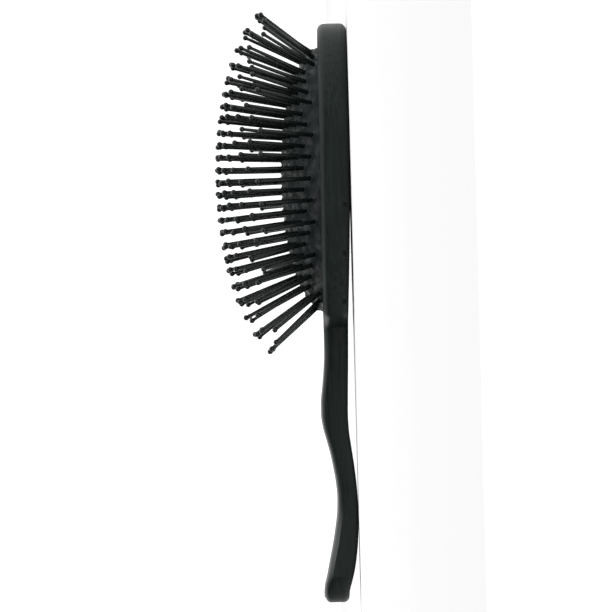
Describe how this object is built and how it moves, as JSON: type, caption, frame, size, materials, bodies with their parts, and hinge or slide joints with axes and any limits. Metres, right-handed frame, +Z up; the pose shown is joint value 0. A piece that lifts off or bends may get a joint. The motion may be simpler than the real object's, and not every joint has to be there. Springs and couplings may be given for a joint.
{
  "type": "paddle brush",
  "caption": "Cushioned paddle hair brush: waisted handle and oval head in one moulding, domed rubber cushion with rows of fanned ball-tipped pins, and a clipped-in back cover.",
  "frame": {"origin": "on the resting plane, under the middle of the brush's bounding box", "axes": "+X from the handle end towards the head top, +Y across the brush, +Z up along the pins; the brush lies on its back"},
  "size_m": [0.2455, 0.0946, 0.0558],
  "materials": {
    "shell_plastic": "near-black soft-touch satin",
    "cover_plastic": "near-black satin",
    "cushion_rubber": "dark grey matt rubber",
    "pin_nylon": "black nylon, soft sheen"
  },
  "bodies": {
    "shell": {"frame": "shell_plastic", "back_cover": "cover_plastic"},
    "pad": {"cushion": "cushion_rubber"},
    "pin_row_01": {"pin_row_01": "pin_nylon"},
    "pin_row_02": {"pin_row_02": "pin_nylon"},
    "pin_row_03": {"pin_row_03": "pin_nylon"},
    "pin_row_04": {"pin_row_04": "pin_nylon"},
    "pin_row_05": {"pin_row_05": "pin_nylon"},
    "pin_row_06": {"pin_row_06": "pin_nylon"},
    "pin_row_07": {"pin_row_07": "pin_nylon"},
    "pin_row_08": {"pin_row_08": "pin_nylon"},
    "pin_row_09": {"pin_row_09": "pin_nylon"},
    "pin_row_10": {"pin_row_10": "pin_nylon"},
    "pin_row_11": {"pin_row_11": "pin_nylon"},
    "pin_row_12": {"pin_row_12": "pin_nylon"},
    "pin_row_13": {"pin_row_13": "pin_nylon"},
    "pin_row_14": {"pin_row_14": "pin_nylon"},
    "pin_row_15": {"pin_row_15": "pin_nylon"},
    "pin_row_16": {"pin_row_16": "pin_nylon"},
    "pin_row_17": {"pin_row_17": "pin_nylon"},
    "pin_row_18": {"pin_row_18": "pin_nylon"},
    "pin_row_19": {"pin_row_19": "pin_nylon"},
    "pin_row_20": {"pin_row_20": "pin_nylon"},
    "pin_row_21": {"pin_row_21": "pin_nylon"},
    "pin_row_22": {"pin_row_22": "pin_nylon"},
    "pin_row_23": {"pin_row_23": "pin_nylon"},
    "pin_row_24": {"pin_row_24": "pin_nylon"},
    "pin_row_25": {"pin_row_25": "pin_nylon"}
  },
  "joints": [
    {"name": "cushion_press", "type": "slide", "parent": "shell", "child": "pad", "axis": [0, 0, 1], "range_m": [-0.004, 0], "stiffness_N_per_m": 4000, "deforming": ["cushion"]},
    {"name": "pin_row_01_tilt", "type": "hinge", "parent": "pad", "child": "pin_row_01", "pos_m": [0.00206, 0, 0.01346], "axis": [0, 1, 0], "range_deg": [-4, 10], "stiffness_Nm_per_rad": 0.3},
    {"name": "pin_row_02_tilt", "type": "hinge", "parent": "pad", "child": "pin_row_02", "pos_m": [0.00558, 0, 0.01529], "axis": [0, 1, 0], "range_deg": [-10, 10], "stiffness_Nm_per_rad": 0.3},
    {"name": "pin_row_03_tilt", "type": "hinge", "parent": "pad", "child": "pin_row_03", "pos_m": [0.00927, 0, 0.01819], "axis": [0, 1, 0], "range_deg": [-10, 10], "stiffness_Nm_per_rad": 0.3},
    {"name": "pin_row_04_tilt", "type": "hinge", "parent": "pad", "child": "pin_row_04", "pos_m": [0.01334, 0, 0.01902], "axis": [0, 1, 0], "range_deg": [-10, 10], "stiffness_Nm_per_rad": 0.3},
    {"name": "pin_row_05_tilt", "type": "hinge", "parent": "pad", "child": "pin_row_05", "pos_m": [0.01769, 0, 0.01932], "axis": [0, 1, 0], "range_deg": [-10, 10], "stiffness_Nm_per_rad": 0.3},
    {"name": "pin_row_06_tilt", "type": "hinge", "parent": "pad", "child": "pin_row_06", "pos_m": [0.02207, 0, 0.0193], "axis": [0, 1, 0], "range_deg": [-10, 10], "stiffness_Nm_per_rad": 0.3},
    {"name": "pin_row_07_tilt", "type": "hinge", "parent": "pad", "child": "pin_row_07", "pos_m": [0.02645, 0, 0.02153], "axis": [0, 1, 0], "range_deg": [-10, 10], "stiffness_Nm_per_rad": 0.3},
    {"name": "pin_row_08_tilt", "type": "hinge", "parent": "pad", "child": "pin_row_08", "pos_m": [0.03085, 0, 0.02115], "axis": [0, 1, 0], "range_deg": [-10, 10], "stiffness_Nm_per_rad": 0.3},
    {"name": "pin_row_09_tilt", "type": "hinge", "parent": "pad", "child": "pin_row_09", "pos_m": [0.03525, 0, 0.02024], "axis": [0, 1, 0], "range_deg": [-10, 10], "stiffness_Nm_per_rad": 0.3},
    {"name": "pin_row_10_tilt", "type": "hinge", "parent": "pad", "child": "pin_row_10", "pos_m": [0.03965, 0, 0.02227], "axis": [0, 1, 0], "range_deg": [-10, 10], "stiffness_Nm_per_rad": 0.3},
    {"name": "pin_row_11_tilt", "type": "hinge", "parent": "pad", "child": "pin_row_11", "pos_m": [0.04406, 0, 0.02111], "axis": [0, 1, 0], "range_deg": [-10, 10], "stiffness_Nm_per_rad": 0.3},
    {"name": "pin_row_12_tilt", "type": "hinge", "parent": "pad", "child": "pin_row_12", "pos_m": [0.04847, 0, 0.0228], "axis": [0, 1, 0], "range_deg": [-10, 10], "stiffness_Nm_per_rad": 0.3},
    {"name": "pin_row_13_tilt", "type": "hinge", "parent": "pad", "child": "pin_row_13", "pos_m": [0.05288, 0, 0.02138], "axis": [0, 1, 0], "range_deg": [-10, 10], "stiffness_Nm_per_rad": 0.3},
    {"name": "pin_row_14_tilt", "type": "hinge", "parent": "pad", "child": "pin_row_14", "pos_m": [0.05728, 0, 0.0228], "axis": [0, 1, 0], "range_deg": [-10, 10], "stiffness_Nm_per_rad": 0.3},
    {"name": "pin_row_15_tilt", "type": "hinge", "parent": "pad", "child": "pin_row_15", "pos_m": [0.06169, 0, 0.02111], "axis": [0, 1, 0], "range_deg": [-10, 10], "stiffness_Nm_per_rad": 0.3},
    {"name": "pin_row_16_tilt", "type": "hinge", "parent": "pad", "child": "pin_row_16", "pos_m": [0.0661, 0, 0.02227], "axis": [0, 1, 0], "range_deg": [-10, 10], "stiffness_Nm_per_rad": 0.3},
    {"name": "pin_row_17_tilt", "type": "hinge", "parent": "pad", "child": "pin_row_17", "pos_m": [0.0705, 0, 0.02024], "axis": [0, 1, 0], "range_deg": [-10, 10], "stiffness_Nm_per_rad": 0.3},
    {"name": "pin_row_18_tilt", "type": "hinge", "parent": "pad", "child": "pin_row_18", "pos_m": [0.07491, 0, 0.02115], "axis": [0, 1, 0], "range_deg": [-10, 10], "stiffness_Nm_per_rad": 0.3},
    {"name": "pin_row_19_tilt", "type": "hinge", "parent": "pad", "child": "pin_row_19", "pos_m": [0.07931, 0, 0.02153], "axis": [0, 1, 0], "range_deg": [-10, 10], "stiffness_Nm_per_rad": 0.3},
    {"name": "pin_row_20_tilt", "type": "hinge", "parent": "pad", "child": "pin_row_20", "pos_m": [0.0837, 0, 0.0193], "axis": [0, 1, 0], "range_deg": [-10, 10], "stiffness_Nm_per_rad": 0.3},
    {"name": "pin_row_21_tilt", "type": "hinge", "parent": "pad", "child": "pin_row_21", "pos_m": [0.08809, 0, 0.01932], "axis": [0, 1, 0], "range_deg": [-10, 10], "stiffness_Nm_per_rad": 0.3},
    {"name": "pin_row_22_tilt", "type": "hinge", "parent": "pad", "child": "pin_row_22", "pos_m": [0.09246, 0, 0.01902], "axis": [0, 1, 0], "range_deg": [-10, 10], "stiffness_Nm_per_rad": 0.3},
    {"name": "pin_row_23_tilt", "type": "hinge", "parent": "pad", "child": "pin_row_23", "pos_m": [0.09656, 0, 0.01819], "axis": [0, 1, 0], "range_deg": [-10, 10], "stiffness_Nm_per_rad": 0.3},
    {"name": "pin_row_24_tilt", "type": "hinge", "parent": "pad", "child": "pin_row_24", "pos_m": [0.10028, 0, 0.01529], "axis": [0, 1, 0], "range_deg": [-10, 10], "stiffness_Nm_per_rad": 0.3},
    {"name": "pin_row_25_tilt", "type": "hinge", "parent": "pad", "child": "pin_row_25", "pos_m": [0.10384, 0, 0.01346], "axis": [0, 1, 0], "range_deg": [-10, 6], "stiffness_Nm_per_rad": 0.3}
  ]
}
